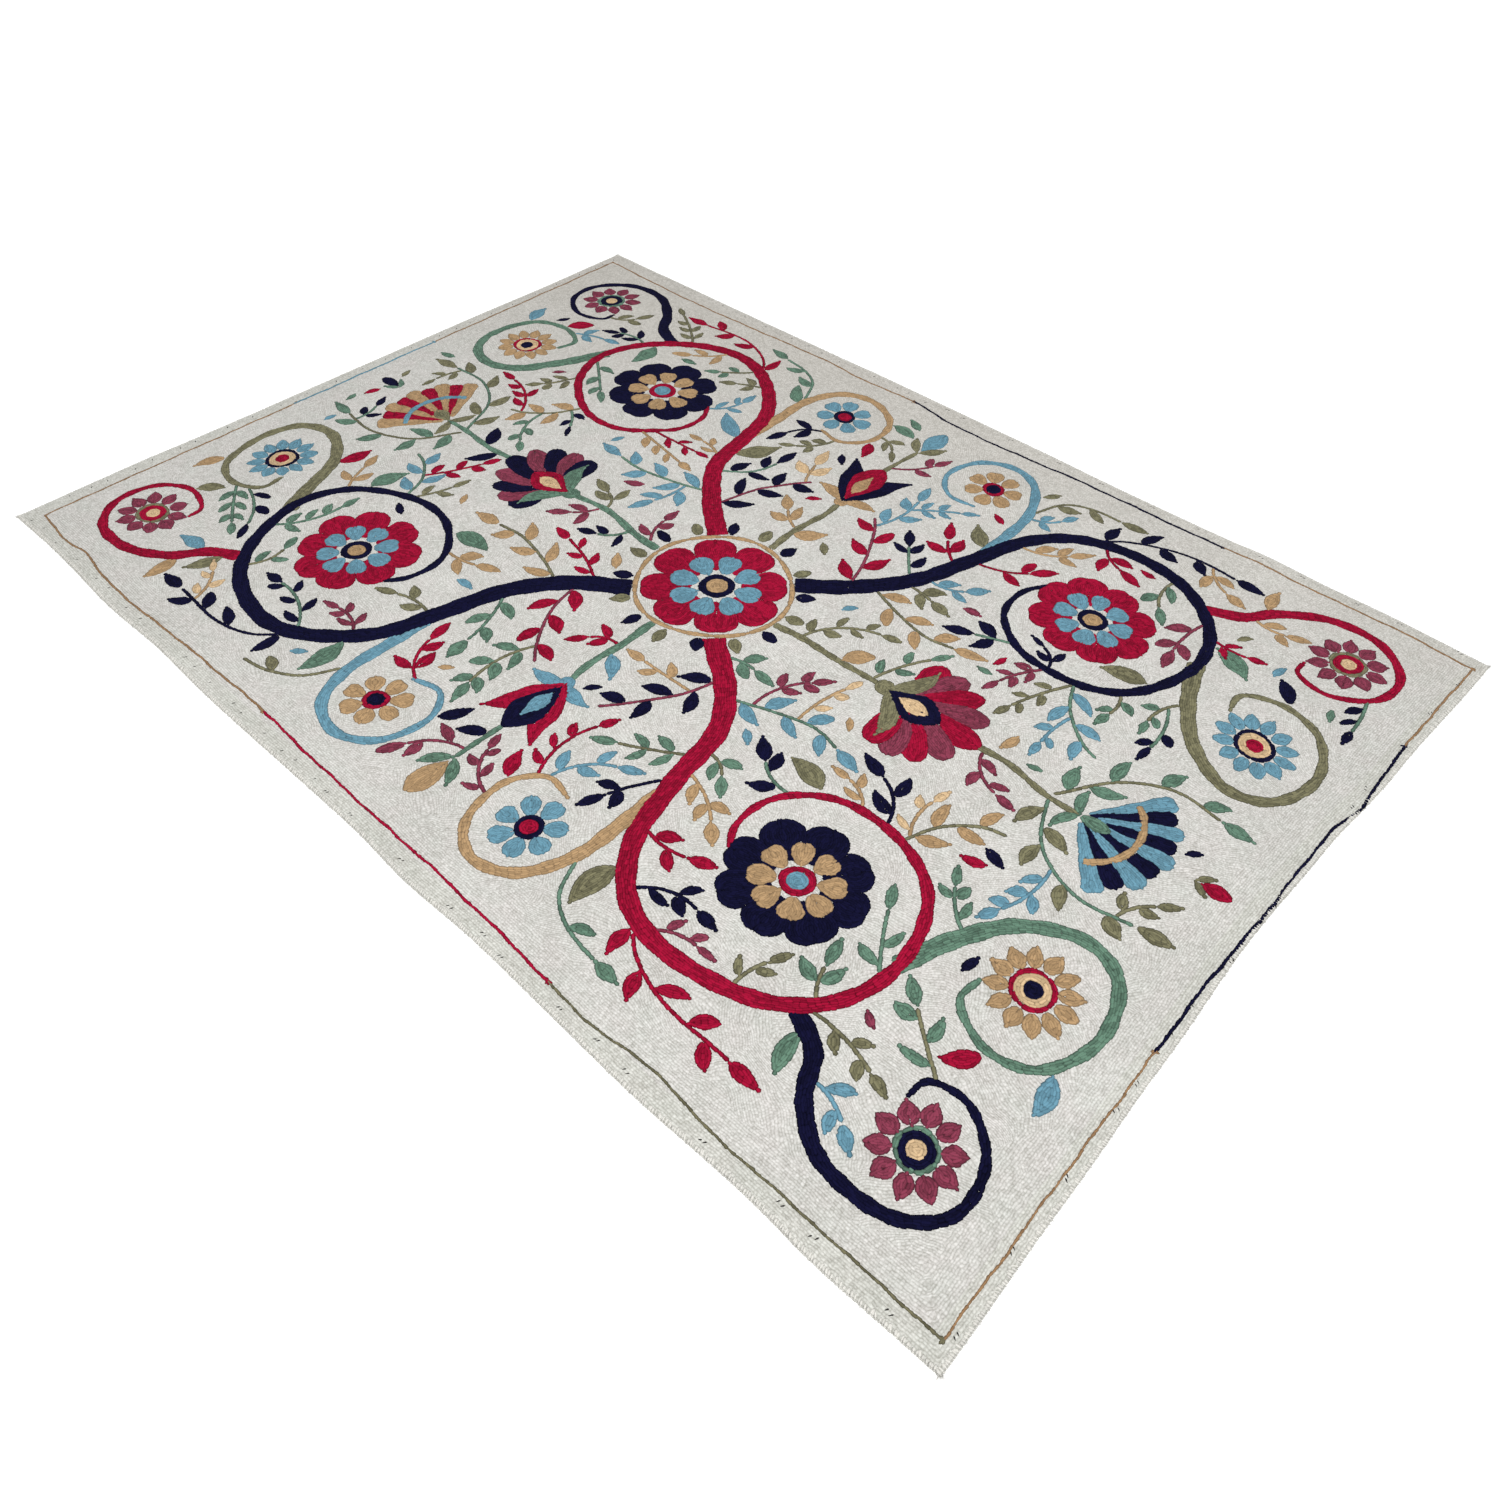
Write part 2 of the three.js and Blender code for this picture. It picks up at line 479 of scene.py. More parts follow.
def ring(centre, inner, outer, yarn):
    middle = 0.5 * (inner + outer)
    turn = np.linspace(0.0, 2 * math.pi, max(12, int(2 * math.pi * middle / stitchWork["spacing"])) + 1)
    spine = np.asarray(centre, float) + middle * np.stack([np.cos(turn), np.sin(turn)], 1)
    return strip(spine, np.full(len(spine), 0.5 * (outer - inner)), yarn)


def rings(centre, radius, edges, yarns):  # one in another, each out to its share of the radius
    pairs = zip((0.0, *edges), edges, yarns)
    return [ring(centre, inner * radius, outer * radius, yarn) for inner, outer, yarn in pairs]


def petals(centre, count, inner, outer, width, yarn, first, form=petalForm):
    angles = [first + 2 * math.pi * i / count for i in range(count)]
    return [blade(polar(centre, a, inner), a, outer - inner, width, yarn, form) for a in angles]


def pairOf(base, angle, size, form, yarn):  # one to each side; lean, length, width and bend
    lean, long, wide, bend = form
    return [blade(base, angle + side * lean, long * size, wide * size, yarn, leafForm, side * bend)
            for side in (-1, 1)]


# Flowers. The yarns run from the eye outwards, and the last is the calyx where there is one.

def rosette(centre, radius, count, yarns, first=0.0):
    share = 2 * math.pi / count
    made = rings(centre, radius, (0.15, 0.24), yarns)
    made += petals(centre, count, 0.26 * radius, 0.64 * radius, 0.44 * share * radius, yarns[2], first)
    wide = 0.78 * share * radius
    return made + petals(centre, count, 0.34 * radius, radius, wide, yarns[3], first + share / 2)


def daisy(centre, radius, count, yarns, first=0.0):
    made = rings(centre, radius, (0.26, 0.38), yarns)
    return made + petals(centre, count, 0.36 * radius, radius, 3.9 * radius / count, yarns[2], first)


def aster(centre, radius, count, yarns, first=0.0):
    made = rings(centre, radius, (0.2, 0.36, 0.45), yarns)
    wide = 4.1 * radius / count
    return made + petals(centre, count, 0.44 * radius, radius, wide, yarns[3], first, leafForm)


def tulip(base, angle, size, yarns):
    made = [blade(polar(base, angle, 0.2 * size), angle, 0.5 * size, 0.17 * size, yarns[2])]
    heart = polar(base, angle, 0.06 * size)
    made.append(blade(heart, angle, 0.86 * size, 0.4 * size, yarns[0], dropForm))
    outer = pairOf(base, angle, size, (0.46, 1.02, 0.32, 0.5), yarns[1])
    sepals = pairOf(base, angle, size, (1.35, 0.5, 0.15, 0.9), yarns[2])
    for both in zip(outer, sepals):
        made += both
    return made + [ring(base, 0.0, 0.085 * size, yarns[2])]


def palmette(base, angle, size, yarns):
    centre = polar(base, angle, 0.2 * size)
    eye, heart = polar(centre, angle, -0.06 * size), polar(centre, angle, -0.16 * size)
    made = [blade(eye, angle, 0.32 * size, 0.16 * size, yarns[0], dropForm)]
    made.append(blade(heart, angle, 0.54 * size, 0.34 * size, yarns[1], dropForm))
    made += pairOf(base, angle, size, (1.15, 0.62, 0.17, 1.3), yarns[4])
    for i in range(9):
        lean = (i - 4) / 4 * 1.5
        root = polar(centre, angle + lean, 0.06 * size)
        length = size * (0.72 - 0.05 * abs(i - 4))
        yarn = yarns[2 + i % 2]
        made.append(blade(root, angle + lean, length, 0.25 * size, yarn, petalForm, 0.2 * lean))
    return made + [ring(base, 0.0, 0.09 * size, yarns[4])]


def carnation(base, angle, size, yarns):
    made = [blade(polar(base, angle, -0.02 * size), angle, 0.36 * size, 0.2 * size, yarns[3], dropForm)]
    turn = np.linspace(angle - 0.98, angle + 0.98, 60)
    arc = evenly([polar(base, a, 0.6 * size) for a in turn], stitchWork["spacing"])
    made.append(strip(arc, np.full(len(arc), 0.035 * size), yarns[2]))
    for i in range(9):
        lean = angle + (i - 4) / 4 * 0.92
        length = size * (0.88 - 0.05 * (i % 2))
        root = polar(base, lean, 0.1 * size)
        made.append(blade(root, lean, length, 0.225 * size, yarns[i % 2], wedgeForm))
    return made + pairOf(base, angle, size, (1.9, 0.4, 0.12, -1.0), yarns[3])


def bud(base, angle, size, yarns):
    heart = blade(polar(base, angle, 0.1 * size), angle, 0.9 * size, 0.46 * size, yarns[0], dropForm)
    return [heart] + pairOf(base, angle, size, (0.62, 0.66, 0.2, -0.5), yarns[1])


# Vines and sprigs

def band(path, widths, yarn):
    t = np.linspace(0.0, 1.0, len(path))
    half = 0.5 * (widths[0] + (widths[1] - widths[0]) * t)
    return [strip(path, half * np.sqrt(np.clip((1.0 - t) * len(path) / 6.0, 0.0, 1.0)), yarn, 1)]


def leavesAlong(path, leaves, offset):
    total = stitchWork["spacing"] * (len(path) - 1)
    made = []
    for i, at in enumerate(np.arange(leaves["start"], total - 12.0, leaves["every"])):
        k = min(len(path) - 2, int(at / stitchWork["spacing"]))
        run = (path[k + 1] - path[k]) / stitchWork["spacing"]
        length = leaves["size"][0] * (1.0 - 0.25 * at / total)
        yarn = leaves["yarns"][i % len(leaves["yarns"])]
        for side in (1, -1) if leaves.get("paired") else ((1, -1)[i % 2],):
            root = path[k] + side * offset * np.array([-run[1], run[0]])
            heading = math.atan2(run[1], run[0]) + side * leaves["lean"]
            shape = blade(root, heading, length, leaves["size"][1], yarn, leafForm, -side * 0.55)
            made.append({**shape, "layer": leaves.get("layer", 2), "whole": True})
    return made


def vine(look):
    path = smoothPath(look["path"])
    made = band(path, look["widths"], look["yarn"])
    return made + leavesAlong(path, look["leaves"], 0.3 * look["widths"][0])


def sprig(look):
    return sprigOn(smoothPath(look["path"]), look)


def sprigOn(path, look):
    leaves = {"start": 0.6 * look["every"], "lean": 0.72, "yarns": [look["leaf"]], "layer": 1, **look}
    run = path[-1] - path[-4]
    tip = blade(path[-1], math.atan2(run[1], run[0]), *look["size"], look["leaf"], leafForm, 0.0, 1, True)
    return band(path, (4.4, 4.0), look["stem"]) + leavesAlong(path, leaves, 1.0) + [tip]


middleFlower = {
    "radius": 142.0,
    "yarns": ("tan", "navy", "sky", "crimson"),
    "ring": (149.0, 157.0, "tan"),
    "rays": {"count": 16, "from": 160.0, "size": (46.0, 25.0), "yarns": ("olive", "navy")},
}

lengthwise = {  # from the middle to each end
    "palmette": {"base": (430.0, 0.0), "size": 214.0,
                 "yarns": ("sand", "navy", "crimson", "plum", "olive")},
    "carnation": {"base": (850.0, 0.0), "size": 164.0, "yarns": ("sky", "navy", "tan", "sage")},
    "bud": {"base": (1048.0, 0.0), "size": 62.0, "yarns": ("crimson", "olive")},
    "stems": [
        {"path": [(160, 0), (230, 5), (330, -5), (430, 0)], "widths": (15, 11), "yarn": "olive",
         "leaves": {"start": 70, "every": 46, "size": (88, 31), "lean": 0.85,
                    "yarns": ("sage", "sage", "tan", "tan")}},
        {"path": [(636, 0), (700, 5), (780, -4), (850, 0)], "widths": (12, 9), "yarn": "olive",
         "leaves": {"start": 34, "every": 42, "size": (78, 28), "lean": 0.9,
                    "yarns": ("crimson", "crimson", "tan")}},
    ],
}

crosswise = {  # from the middle to each long side
    "tulip": {"base": (0.0, 385.0), "size": 172.0, "yarns": ("crimson", "navy", "tan")},
    "bud": {"base": (0.0, 648.0), "size": 104.0, "yarns": ("sky", "olive")},
    "stems": [
        {"path": [(0, 160), (5, 240), (-5, 320), (0, 385)], "widths": (15, 11), "yarn": "olive",
         "leaves": {"start": 68, "every": 46, "size": (88, 31), "lean": 0.85,
                    "yarns": ("tan", "tan", "plum", "plum")}},
        {"path": [(0, 540), (0, 600), (0, 650)], "widths": (9, 8), "yarn": "olive",
         "leaves": {"start": 34, "every": 34, "size": (66, 24), "lean": 0.95, "yarns": ("crimson",)}},
    ],
}

quarter = {  # one quarter of the rug, towards +x and +y
    "rosette": {"centre": (594.0, 430.0), "radius": 124.0, "count": 8, "first": 0.2,
                "yarns": ("tan", "navy", "sky", "crimson")},
    "asters": [
        {"centre": (988.0, 346.0), "radius": 80.0, "count": 12,
         "yarns": ("crimson", "sand", "navy", "sky")},
        {"centre": (1004.0, 652.0), "radius": 74.0, "count": 10,
         "yarns": ("sand", "crimson", "olive", "plum")},
    ],
    "daisy": {"centre": (206.0, 650.0), "radius": 64.0, "count": 7, "first": 0.3,
              "yarns": ("navy", "crimson", "tan")},
    "vines": [
        {"path": [(110, 116), (210, 196), (286, 296), (318, 420), (354, 545), (440, 632), (560, 668),
                  (690, 642), (782, 552), (810, 430), (762, 312), (662, 248), (548, 252), (462, 322),
                  (450, 412), (500, 482)],
         "widths": (44, 9), "yarn": "navy",
         "leaves": {"start": 76, "every": 62, "size": (118, 41), "lean": 0.8,
                    "yarns": ("sage", "tan", "sky", "olive")}},
        {"path": [(808, 450), (848, 356), (905, 266), (990, 218), (1070, 250), (1100, 345), (1064, 440),
                  (984, 472), (914, 440), (918, 386)],
         "widths": (31, 8), "yarn": "olive",
         "leaves": {"start": 40, "every": 50, "size": (90, 32), "lean": 0.8,
                    "yarns": ("crimson", "navy", "tan")}},
        {"path": [(320, 440), (316, 540), (310, 640), (268, 722), (190, 750), (118, 708), (102, 622),
                  (148, 562), (212, 570)],
         "widths": (27, 7), "yarn": "sky",
         "leaves": {"start": 36, "every": 48, "size": (84, 30), "lean": 0.8,
                    "yarns": ("olive", "crimson", "navy")}},
        {"path": [(740, 604), (808, 640), (852, 702), (932, 752), (1030, 746), (1092, 682), (1086, 600),
                  (1020, 552), (952, 566), (944, 606)],
         "widths": (28, 7), "yarn": "crimson",
         "leaves": {"start": 40, "every": 48, "size": (84, 30), "lean": 0.8,
                    "yarns": ("olive", "sky", "tan")}},
    ],
    "sprigs": [
        {"path": [(236, 214), (310, 186), (392, 168), (456, 178)], "every": 40, "size": (70, 25),
         "leaf": "tan", "stem": "olive"},
        {"path": [(196, 182), (172, 270), (122, 352), (88, 392)], "every": 42, "size": (72, 26),
         "leaf": "crimson", "stem": "plum"},
        {"path": [(792, 8), (846, 104), (932, 152), (1026, 146)], "every": 40, "size": (70, 25),
         "leaf": "sage", "stem": "olive"},
        {"path": [(318, 640), (352, 706), (410, 738), (478, 748)], "every": 38, "size": (62, 23),
         "leaf": "olive", "stem": "olive"},
        {"path": [(470, 652), (530, 706), (620, 738), (740, 736)], "every": 38, "size": (66, 24),
         "leaf": "navy", "stem": "navy"},
        {"path": [(668, 246), (700, 186), (752, 140), (792, 126)], "every": 38, "size": (66, 24),
         "leaf": "sky", "stem": "sage"},
    ],
}

sprays = {  # grown from the vines, and from each other, into the open ground
    "tries": 12000,
    "most": 110,
    "clearance": 4.5,
    "fewestLeaves": 3,
    "lengths": (55.0, 160.0),
    "sizes": (42.0, 68.0),
    "pairs": (
        ("sage", "sage"), ("crimson", "crimson"), ("navy", "navy"), ("sky", "sky"), ("olive", "olive"),
        ("tan", "tan"), ("plum", "plum"), ("sage", "olive"), ("navy", "sage"), ("sand", "tan"),
    ),
}

fillers = {"tries": 2500, "most": 40, "clearance": 10.0, "sizes": (32.0, 58.0), "width": 0.38}

crossSwaps = {
    "crimson": "navy", "navy": "crimson", "sky": "tan", "tan": "sky", "olive": "sage", "sage": "olive",
}


def middleShapes():
    look = middleFlower
    made = rosette((0.0, 0.0), look["radius"], 8, look["yarns"], math.pi / 8)
    made.append(ring((0.0, 0.0), *look["ring"]))
    rays = look["rays"]
    for i in range(rays["count"]):
        angle = 2 * math.pi * (i + 0.5) / rays["count"]
        root = polar((0.0, 0.0), angle, rays["from"])
        made.append(blade(root, angle, *rays["size"], rays["yarns"][i % 2]))
    return made


def axisShapes(looks, kinds, angle):
    made = []
    for kind in kinds:
        look = looks[kind.__name__]
        made += kind(look["base"], angle, look["size"], look["yarns"])
    for stem in looks["stems"]:
        made += vine(stem)
    return made


def quarterShapes():
    made = rosette(**quarter["rosette"]) + daisy(**quarter["daisy"])
    for look in quarter["asters"]:
        made += aster(**look)
    for look in quarter["vines"]:
        made += vine(look)
    for look in quarter["sprigs"]:
        made += sprig(look)
    return made


def mirrored(shapes, flipX, flipY, swaps):
    flip = np.array([flipX, flipY])
    return [{**s, "spine": s["spine"] * flip, "yarn": swaps.get(s["yarn"], s["yarn"])} for s in shapes]


def handDrawn(points):  # drifts the drawing by a few mm, so that no two quarters match
    x, y = points[:, 0] / 1000.0, points[:, 1] / 1000.0
    driftX = 5.0 * np.sin(7.1 * x + 9.3 * y + 0.6) + 3.2 * np.sin(17.0 * y - 11.0 * x + 2.0)
    driftY = 5.0 * np.sin(8.3 * x - 6.2 * y + 4.1) + 3.2 * np.sin(19.0 * x + 8.0 * y + 1.1)
    return points + np.stack([driftX, driftY], 1)


def unevenly(half, rng, spread):  # no two leaves are equally wide, and no outline is quite smooth
    at = stitchWork["spacing"] * np.arange(len(half))
    waver = 1.1 * np.sin(at / rng.uniform(6.0, 12.0) + rng.uniform(0, 6)) * np.minimum(1.0, half / 6.0)
    return half * (1.0 + rng.normal(0.0, spread)) + waver


def allShapes():
    shapes = middleShapes()
    for flip, swaps in ((1, {}), (-1, crossSwaps)):
        alongX = axisShapes(lengthwise, (palmette, carnation, bud), 0.0)
        alongY = axisShapes(crosswise, (tulip, bud), math.pi / 2)
        shapes += mirrored(alongX, flip, flip, swaps) + mirrored(alongY, -flip, flip, swaps)
    for flipX in (1, -1):
        for flipY in (1, -1):
            shapes += mirrored(quarterShapes(), flipX, flipY, {} if flipX == flipY else crossSwaps)
    rng = np.random.default_rng(stitchWork["seed"] + 1)
    for shape in shapes:
        shape["spine"] = handDrawn(shape["spine"])
        shape["half"] = unevenly(shape["half"], rng, 0.09 if shape["layer"] == 2 else 0.03)
    return sorted(shapes, key=lambda shape: shape["layer"])


# Stitching: rows that follow a shape's outline, cut where another shape already lies

cell = stitchWork["cell"]
gridHalf = (1200.0, 860.0)  # mm
taken = np.zeros([int(2 * half / cell) for half in gridHalf], bool)


def cellsOf(points):
    cells = [((points[..., k] + gridHalf[k]) / cell).astype(int) for k in (0, 1)]
    return tuple(np.clip(at, 0, size - 1) for at, size in zip(cells, taken.shape))


def outOfField(points):
    pastEnd = np.abs(points[..., 0]) > stitchWork["halfLength"]
    return pastEnd | (np.abs(points[..., 1]) > stitchWork["halfWidth"])


def sidewaysOf(spine):
    run = np.gradient(spine, axis=0)
    return leftOf(run / np.maximum(lengths(run)[:, None], 1e-9))


def isFree(shape, clearance=4.0, rooted=0.42):  # the root may lie on the stem that it grows from
    first = int(rooted * len(shape["spine"]))
    side = sidewaysOf(shape["spine"])[first:, None, :]
    reach = (shape["half"][first:, None, None] + clearance) * np.linspace(-1.0, 1.0, 7)[None, :, None]
    points = shape["spine"][first:, None, :] + side * reach
    return not (taken[cellsOf(points)].any() or outOfField(points).any())


def runsOf(kept):
    edges = np.flatnonzero(np.diff(np.concatenate([[0], kept.astype(int), [0]])))
    return [(first, last) for first, last in zip(edges[::2], edges[1::2]) if last - first > 1]


def rowsOf(shape, pitch):  # along both sides, and down the middle where these leave room
    spine, half = shape["spine"], shape["half"]
    side = sidewaysOf(spine)
    for k in range(int(half.max() / pitch + 1.0)):
        v = half - (k + 0.5) * pitch
        for first, last in runsOf(v >= 0.25 * pitch):
            for sign in (1, -1):
                yield spine[first:last] + sign * v[first:last, None] * side[first:last]
    innermost = np.mod(half - 0.75 * pitch, pitch) + 0.25 * pitch
    for first, last in runsOf((half > 0.2 * pitch) & ((half < 0.75 * pitch) | (innermost > 0.56 * pitch))):
        yield spine[first:last]


def stitchesOf(shape, rng, pitch=stitchWork["pitch"], advance=stitchWork["advance"]):
    made = []
    for row in rowsOf(shape, pitch):
        laps = lapsOf(row)
        if laps[-1] < 3.0:
            continue
        count = max(1, int(round(laps[-1] / advance)))
        at = np.linspace(0.0, laps[-1], count + 1)
        at[1:-1] += rng.uniform(-0.18, 0.18, count - 1) * advance
        points = pointsAt(row, laps, at)
        kind = np.tile([rng.normal(0.0, 0.08), pitch], (count, 1))
        made.append(np.concatenate([points[:-1], points[1:], kind], 1))
    return np.concatenate(made) if made else np.zeros((0, 6))


def trimmed(stitches):  # cuts each stitch back to its longer free end
    probes = 9
    start, end = stitches[:, :2], stitches[:, 2:4]
    points = start[:, None] + np.linspace(0.0, 1.0, probes)[None, :, None] * (end - start)[:, None]
    clear = ~(taken[cellsOf(points)] | outOfField(points))
    fromStart = np.cumprod(clear, axis=1).sum(1)
    fromEnd = np.cumprod(clear[:, ::-1], axis=1).sum(1)
    kept = np.maximum(fromStart, fromEnd)
    reach = np.maximum(kept - 1, 0)[:, None] / (probes - 1) * (end - start)
    atStart = (fromStart >= fromEnd)[:, None]
    made = stitches.copy()
    made[:, :2] = np.where(atStart, start, end - reach)
    made[:, 2:4] = np.where(atStart, start + reach, end)
    return made[kept >= 3]


def claim(stitches):
    start = stitches[:, :2]
    run = stitches[:, 2:4] - start
    side = leftOf(run) / np.maximum(lengths(run)[:, None], 1e-9)
    for share in np.linspace(-0.04, 1.04, 11):
        for across in stitchWork["claim"]:
            taken[cellsOf(start + share * run + across * side)] = True


def mendsOf(shape, rng):  # short stitches where the rows leave a shape bare
    look = stitchWork["mend"]
    reach = shape["half"] - look["inset"]
    across = np.linspace(-1.0, 1.0, 2 * int(shape["half"].max() / look["step"]) + 3)
    side = sidewaysOf(shape["spine"])
    points = shape["spine"][:, None] + side[:, None] * (np.maximum(reach, 0.0)[:, None] * across)[..., None]
    bare = ~(taken[cellsOf(points)] | outOfField(points)) & (reach > 0.8)[:, None]
    made = []
    for i, j in np.argwhere(bare):
        place = points[i, j]
        if not taken[cellsOf(place)]:
            run = look["reach"] * np.array([side[i, 1], -side[i, 0]])
            mend = np.array([[*(place - run), *(place + run), rng.normal(0.0, 0.06), look["pitch"]]])
            claim(mend)
            made.append(mend)
    return made


def lay(shape, rng, work):  # stitches a shape wherever the cloth is still bare
    stitches = trimmed(stitchesOf(shape, rng))
    claim(stitches)
    mends = mendsOf(shape, rng)
    work.setdefault(shape["yarn"], []).extend([stitches] + mends)
    return len(mends)


def randomSprig(host, rng):
    k = rng.integers(6, len(host["spine"]) - 3)
    turn = rng.choice((-1, 1))
    run = host["spine"][k + 1] - host["spine"][k]
    root = host["spine"][k] + 0.7 * turn * host["half"][k] * sidewaysOf(host["spine"])[k]
    heading = math.atan2(run[1], run[0]) + turn * rng.uniform(0.5, 1.25)
    path = arcPath(root, heading, rng.uniform(*sprays["lengths"]), rng.uniform(-1.2, 1.2))
    leaf, stem = sprays["pairs"][rng.integers(len(sprays["pairs"]))]
    length = rng.uniform(*sprays["sizes"])
    paired = rng.random() < 0.45
    every = length * (0.85 if paired else 0.6)
    look = {"every": every, "size": (length, 0.37 * length), "leaf": leaf, "stem": stem, "paired": paired}
    hidden = (0.4 * host["half"][k] + 8.0) / (stitchWork["spacing"] * len(path))
    return path, look, hidden


def growSprays(rng, hosts, work):
    hosts = list(hosts)
    count = 0
    for _ in range(sprays["tries"]):
        sizes = np.array([len(host["spine"]) for host in hosts], float)
        host = hosts[rng.choice(len(hosts), p=sizes / sizes.sum())]
        path, look, hidden = randomSprig(host, rng)
        if taken[cellsOf(path[len(path) // 2:])].any():
            continue
        stem, *leaves = sprigOn(path, look)
        if not (isFree(leaves[-1], sprays["clearance"], 0.1) and isFree(stem, sprays["clearance"], hidden)):
            continue
        leaves = [leaf for leaf in leaves if isFree(leaf, sprays["clearance"], 0.3)]
        if count == sprays["most"] or len(leaves) < sprays["fewestLeaves"]:
            continue
        lay(stem, rng, work)
        for leaf in leaves:
            leaf["half"] = unevenly(leaf["half"], rng, 0.08)
            lay(leaf, rng, work)
        hosts.append(stem)
        count += 1
    return count


def scatterLeaves(rng, work):  # loose leaves for the ground that is still open
    count = 0
    for _ in range(fillers["tries"]):
        place = rng.uniform(-1, 1, 2) * (stitchWork["halfLength"] - 20, stitchWork["halfWidth"] - 20)
        angle = rng.uniform(-math.pi, math.pi)
        length = rng.uniform(*fillers["sizes"])
        yarn = rng.choice(["crimson", "navy", "sky", "tan", "olive", "sage", "plum"])
        leaf = blade(place, angle, length, fillers["width"] * length, yarn, leafForm, rng.uniform(-0.6, 0.6))
        if count < fillers["most"] and isFree(leaf, fillers["clearance"], 0.0):
            lay(leaf, rng, work)
            count += 1
    return count


def embroider():
    rng = np.random.default_rng(stitchWork["seed"])
    work = {}
    shapes = allShapes()
    mends = 0
    for layers in ((0, 1), (2,)):
        for shape in [shape for shape in shapes if shape["layer"] in layers]:
            if isFree(shape) or not shape["whole"]:
                mends += lay(shape, rng, work)
        if layers == (0, 1):
            stems = [shape for shape in shapes if shape["layer"] == 1 and not shape["whole"]]
            print("sprays", growSprays(rng, stems, work))
    print("mends", mends, "loose leaves", scatterLeaves(rng, work))
    return work


# The border line, side by side, with the yarn that each stretch is worked in

borderLine = {
    "advance": 6.5,
    "waver": 0.8,
    "seed": 33,
    "knot": {"strokes": 6, "spread": 1.5, "reach": 4.0, "pitch": 2.4},  # where a yarn ends
    "sides": [
        {"axis": 0,
         "path": [(-1153, -809), (-1039, -817), (-967, -810), (-830, -823), (-534, -811), (-335, -805),
                  (-179, -810), (308, -814), (455, -822), (560, -826), (677, -813), (805, -823),
                  (1174, -820)],
         "yarns": [(-330, "umber", 4.0), (456, "crimson", 4.3), (1300, "moss", 3.7)]},
        {"axis": 1,
         "path": [(1174, -820), (1166, -500), (1161, -214), (1160, -132), (1165, 25), (1166, 237),
                  (1179, 325), (1179, 394), (1176, 524), (1186, 806)],
         "yarns": [(-310, "umber", 3.2), (522, "navy", 4.6), (900, "umber", 3.8)]},
        {"axis": 0,
         "path": [(-1170, 799), (-844, 794), (-425, 811), (-284, 806), (-137, 814), (10, 798), (212, 804),
                  (328, 812), (700, 814), (1043, 818), (1186, 806)],
         "yarns": [(-135, "umber", 3.9), (667, "navy", 4.8), (1300, "umber", 3.9)]},
        {"axis": 1,
         "path": [(-1153, -809), (-1153, -757), (-1156, -644), (-1162, 0), (-1167, 607), (-1170, 799)],
         "yarns": [(-210, "umber", 3.8), (190, "sky", 4.4), (900, "umber", 3.8)]},
    ],
}


def borderStitches():
    rng = np.random.default_rng(borderLine["seed"])
    look = borderLine["knot"]
    made = {}
    for side in borderLine["sides"]:
        path = smoothPath(side["path"])
        along = path[:, side["axis"]]
        waver = np.sin(along / 23.0) + 0.7 * np.sin(along / 9.1 + 2.0)
        path[:, 1 - side["axis"]] += borderLine["waver"] * waver
        last = -2000
        for end, yarn, width in side["yarns"]:
            part = (along >= last - 3) & (along < end + 3)
            pitch = width / stitchWork["swell"]
            shape = strip(path[part], np.full(part.sum(), 0.4 * pitch), yarn)
            stitches = stitchesOf(shape, rng, pitch, borderLine["advance"])
            stitches[:, 4] += rng.normal(0.0, 0.14, len(stitches))
            stitches[:, 5] *= rng.uniform(0.85, 1.15, len(stitches))
            roots = path[part][-1] + rng.uniform(-look["spread"], look["spread"], (look["strokes"], 2))
            ends = roots + rng.uniform(-look["reach"], look["reach"], roots.shape)
            knot = np.concatenate([roots, ends, np.tile([0.0, look["pitch"]], (len(roots), 1))], 1)
            made.setdefault(yarn, []).extend([stitches, knot])
            last = end
    return made


# Dark ties in the hem: small slanted stitches that hold the turned edge

hemTies = {
    "single": {"every": 57.0, "inset": (13.0, 18.0), "strokes": 1},  # over the left half
    "grouped": {"every": 92.0, "inset": (8.0, 15.0), "strokes": 2},
    "length": 3.2,
    "pitch": 1.5,
    "apart": 6.5,  # mm between the strokes of a tie
    "clear": 40.0,  # from the corners
    "bow": 17.0,  # how far the +x end's middle comes in
    "seed": 12,
}


def hemTieStitches():
    rng = np.random.default_rng(hemTies["seed"])
    corners = np.array([(-1, -1), (1, -1), (1, 1), (-1, 1), (-1, -1)], float)
    corners *= (rug["halfLength"], rug["halfWidth"])
    made = []
    for start, end in zip(corners[:-1], corners[1:]):
        run = end - start
        length = np.linalg.norm(run)
        run /= length
        inward = np.array([-run[1], run[0]])
        at = hemTies["clear"]
        while at < length - hemTies["clear"]:
            look = hemTies["single" if (start + run * at)[0] < -100.0 else "grouped"]
            place = start + run * at + inward * rng.uniform(*look["inset"])
            if start[0] > 0 and end[0] > 0:
                place[0] -= hemTies["bow"] * math.cos(place[1] / 620.0) ** 2
            for stroke in range(look["strokes"]):
                ahead = hemTies["apart"] * stroke + rng.uniform(-1, 1)
                root = place + run * ahead + inward * rng.uniform(-2, 2)
                reach = (0.8 * inward + 0.6 * run) * hemTies["length"] * rng.uniform(0.5, 1.1)
                made.append([*root, *(root + reach), rng.uniform(-0.2, 0.2), hemTies["pitch"]])
            at += look["every"] * rng.uniform(0.5, 1.6)
    return np.array(made)


# Meshes from one stitch, tiled

